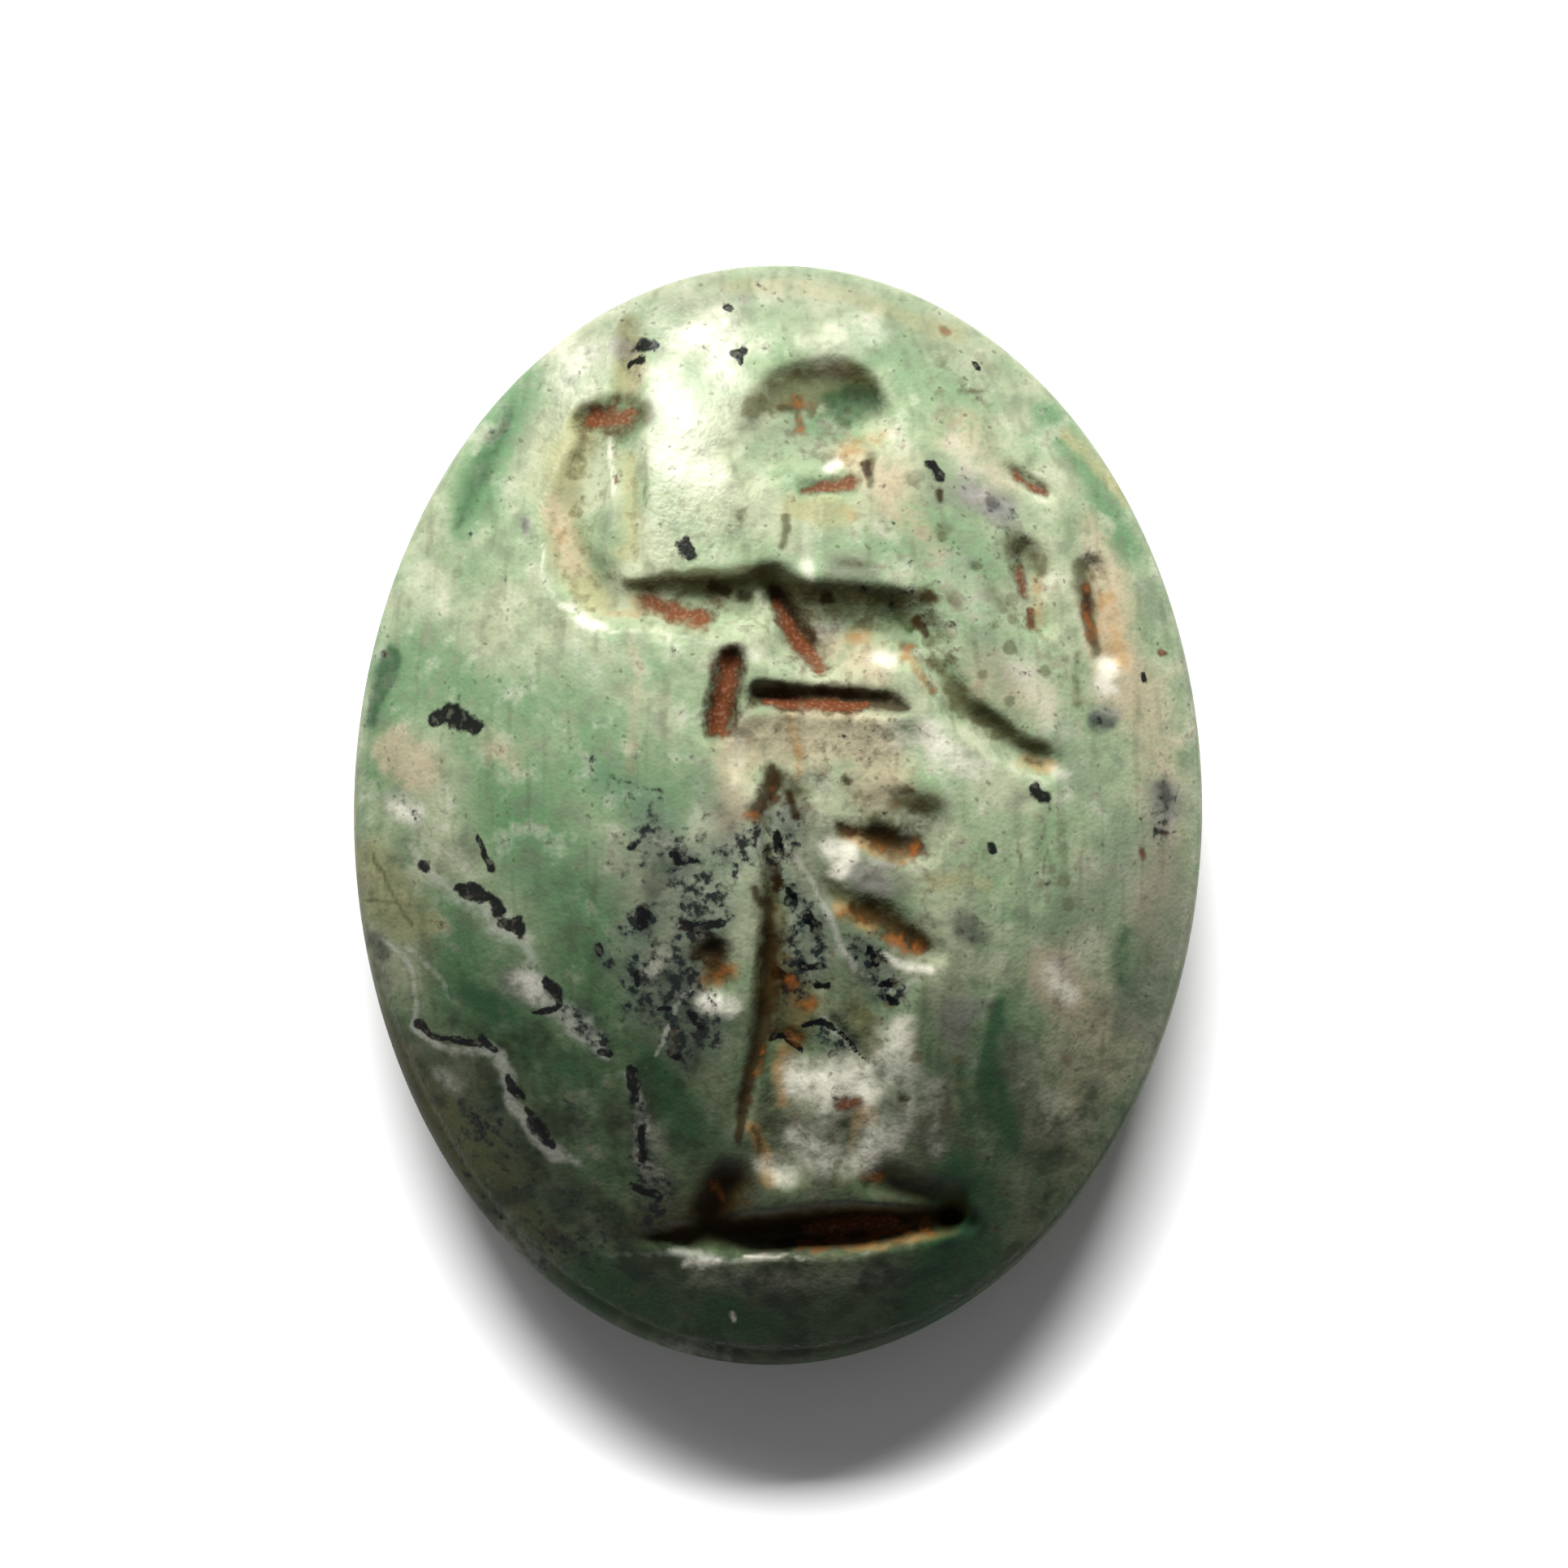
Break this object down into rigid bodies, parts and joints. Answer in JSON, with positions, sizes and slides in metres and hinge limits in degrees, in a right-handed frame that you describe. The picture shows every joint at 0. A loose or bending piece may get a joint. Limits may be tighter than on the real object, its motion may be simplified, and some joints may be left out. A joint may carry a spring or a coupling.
{
  "type": "intaglio gem",
  "caption": "Oval domed ring stone with a standing figure and spear engraved into its face; it lies on its flat back or sets in a bezel.",
  "frame": {"origin": "middle of the flat back", "axes": "+X across the engraved face to the viewer's right, +Y along the face towards the figure's head, +Z out of the engraved face"},
  "size_m": [0.0108, 0.014, 0.0036],
  "materials": {
    "green_stone": "polished mottled green stone with dark inclusions, worn, with brown residue in the engraving"
  },
  "bodies": {
    "root": {"gem": "green_stone"}
  },
  "joints": []
}
